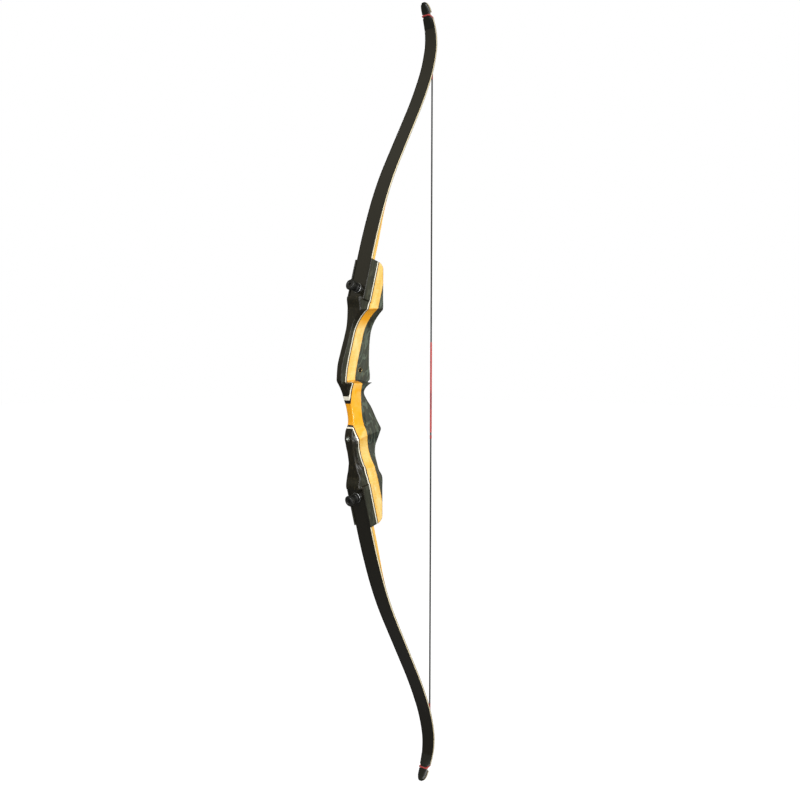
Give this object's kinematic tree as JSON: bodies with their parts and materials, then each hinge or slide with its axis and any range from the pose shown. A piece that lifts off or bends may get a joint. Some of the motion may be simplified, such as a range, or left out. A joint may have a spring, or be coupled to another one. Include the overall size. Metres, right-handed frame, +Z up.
{
  "type": "recurve bow",
  "caption": "Strung takedown recurve bow: laminated riser with arrow shelf and shaped grip, bolted limbs that flex, looped string.",
  "frame": {"origin": "throat of the grip, on the plane shared by the limbs and the string", "axes": "+Z up along the string, -Y towards the target, +Y towards the archer, +X to the archer's left, where the sight window opens"},
  "size_m": [0.0432, 0.2408, 1.4974],
  "materials": {
    "yellow_wood": "gloss varnish over yellow maple",
    "green_wood": "gloss varnish over grey-green dyed laminated wood",
    "black_wood": "gloss varnish over black dyed laminated wood",
    "white_veneer": "gloss varnish over white maple veneer",
    "black_veneer": "gloss varnish over black dyed veneer",
    "limb_wood": "varnished maple edge",
    "wedge_wood": "varnished maple edge",
    "black_glass": "polished black glass laminate",
    "tip_black": "polished black laminate",
    "brass": "machined brass",
    "steel": "turned steel",
    "black_metal": "black anodised and turned",
    "string_black": "waxed twisted polyester strands",
    "serving_red": "wound red nylon serving thread"
  },
  "bodies": {
    "riser": {"riser_core": "yellow_wood", "riser_grip_block": "green_wood", "riser_front_upper": "black_wood", "riser_front_lower": "black_wood", "white_veneer_upper": "white_veneer", "white_veneer_lower": "white_veneer", "black_veneer_upper": "black_veneer", "black_veneer_lower": "black_veneer", "insert_upper": "brass", "insert_lower": "brass", "pin_upper": "steel", "pin_lower": "steel", "stabiliser_bushing": "brass", "plunger_bushing": "brass", "washer_upper": "steel", "washer_lower": "steel", "back_glass_butt_upper": "black_glass", "core_butt_upper": "limb_wood", "belly_glass_butt_upper": "black_glass", "wedge_butt_upper": "wedge_wood", "back_glass_butt_lower": "black_glass", "core_butt_lower": "limb_wood", "belly_glass_butt_lower": "black_glass", "wedge_butt_lower": "wedge_wood"},
    "upper_limb": {"back_glass_upper": "black_glass", "core_upper": "limb_wood", "belly_glass_upper": "black_glass", "wedge_upper": "wedge_wood", "tip_overlay_upper": "tip_black"},
    "lower_limb": {"back_glass_lower": "black_glass", "core_lower": "limb_wood", "belly_glass_lower": "black_glass", "wedge_lower": "wedge_wood", "tip_overlay_lower": "tip_black"},
    "upper_string": {"strands_upper": "string_black", "centre_serving_upper": "serving_red", "end_serving_upper": "serving_red", "string_loop_upper": "serving_red"},
    "lower_string": {"strands_lower": "string_black", "centre_serving_lower": "serving_red", "end_serving_lower": "serving_red", "string_loop_lower": "serving_red", "serving_band": "serving_red"},
    "upper_bolt": {"bolt_upper": "black_metal"},
    "lower_bolt": {"bolt_lower": "black_metal"}
  },
  "joints": [
    {"name": "draw", "type": "hinge", "parent": "riser", "child": "upper_limb", "pos_m": [0, 0.01183, 0.25008], "axis": [-1, 0, 0], "range_deg": [0, 20.5], "stiffness_Nm_per_rad": 240},
    {"name": "lower_limb_flex", "type": "hinge", "parent": "riser", "child": "lower_limb", "pos_m": [0, 0.01183, -0.25008], "axis": [1, 0, 0], "range_deg": [0, 20.5], "stiffness_Nm_per_rad": 240},
    {"name": "upper_string_pull", "type": "hinge", "parent": "upper_limb", "child": "upper_string", "pos_m": [0, 0.1706, 0.72402], "axis": [1, 0, 0], "range_deg": [0, 47.14]},
    {"name": "lower_string_pull", "type": "hinge", "parent": "lower_limb", "child": "lower_string", "pos_m": [0, 0.1706, -0.72402], "axis": [-1, 0, 0], "range_deg": [0, 47.14]},
    {"name": "upper_bolt_turn", "type": "hinge", "parent": "riser", "child": "upper_bolt", "pos_m": [0, -0.01061, 0.18994], "axis": [0, -0.9613, 0.2756], "continuous": true},
    {"name": "lower_bolt_turn", "type": "hinge", "parent": "riser", "child": "lower_bolt", "pos_m": [0, -0.01061, -0.18994], "axis": [0, -0.9613, -0.2756], "continuous": true}
  ],
  "couplings": [
    {"joint": "lower_limb_flex", "follows": "draw", "ratio": 1},
    {"joint": "upper_string_pull", "follows": "draw", "ratio": 2.2995},
    {"joint": "lower_string_pull", "follows": "draw", "ratio": 2.2995}
  ]
}
